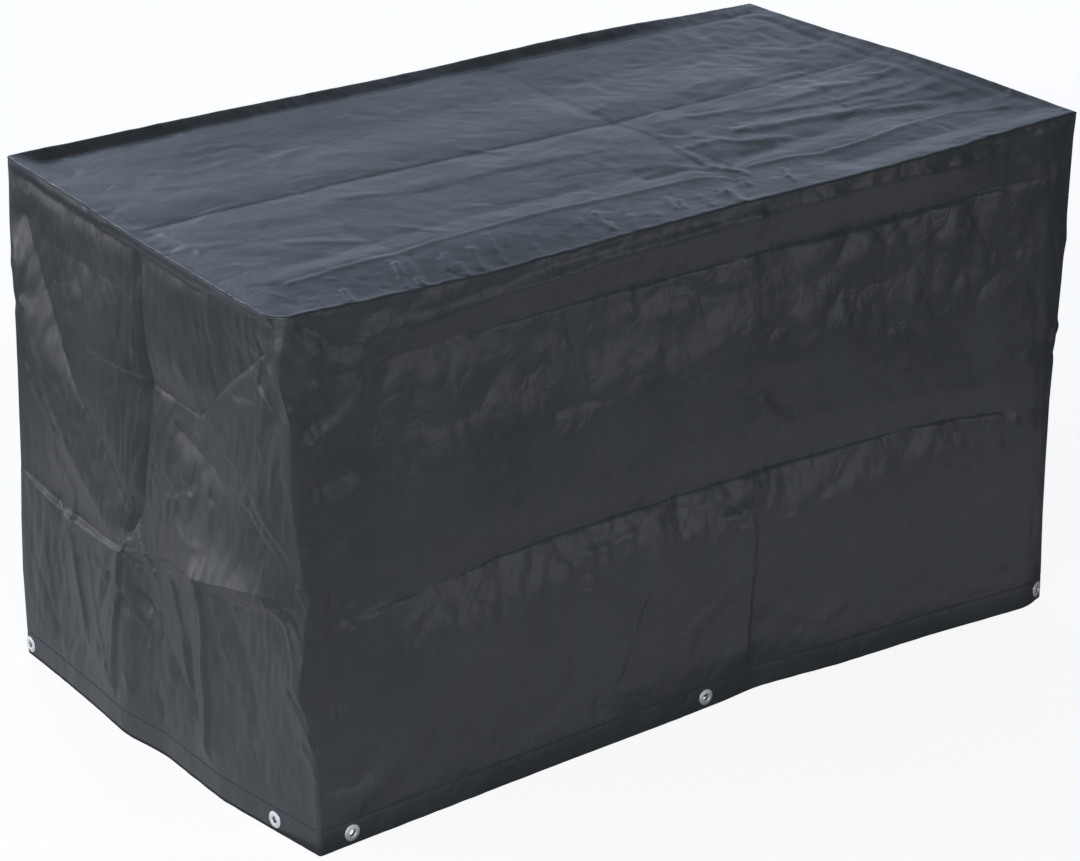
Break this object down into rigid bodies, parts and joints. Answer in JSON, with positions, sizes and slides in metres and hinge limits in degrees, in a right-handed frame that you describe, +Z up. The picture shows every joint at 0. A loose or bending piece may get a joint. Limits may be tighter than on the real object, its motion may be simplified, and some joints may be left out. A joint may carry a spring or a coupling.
{
  "type": "fitted patio furniture cover",
  "caption": "Box-shaped fitted cover of coated woven sheet, open below, with a doubled hem strip that holds metal eyelets.",
  "frame": {"origin": "on the floor, under the middle of the box that the cover fills", "axes": "+Z up, +X along the length, towards the right as the long front wall is seen; the front faces -Y"},
  "size_m": [1.056, 0.597, 0.604],
  "materials": {
    "cloth": "coated woven sheet, half matt, creased from its packing",
    "hem": "the same sheet folded double and stitched",
    "eyelet": "pressed, bright"
  },
  "bodies": {
    "root": {"top_panel": "cloth", "wall_front": "cloth", "wall_right": "cloth", "wall_back": "cloth", "wall_left": "cloth", "hem_front": "hem", "hem_right": "hem", "hem_back": "hem", "hem_left": "hem", "eyelet_01": "eyelet", "eyelet_02": "eyelet", "eyelet_03": "eyelet", "eyelet_04": "eyelet", "eyelet_05": "eyelet", "eyelet_06": "eyelet", "eyelet_07": "eyelet", "eyelet_08": "eyelet", "eyelet_09": "eyelet", "eyelet_10": "eyelet"}
  },
  "joints": []
}
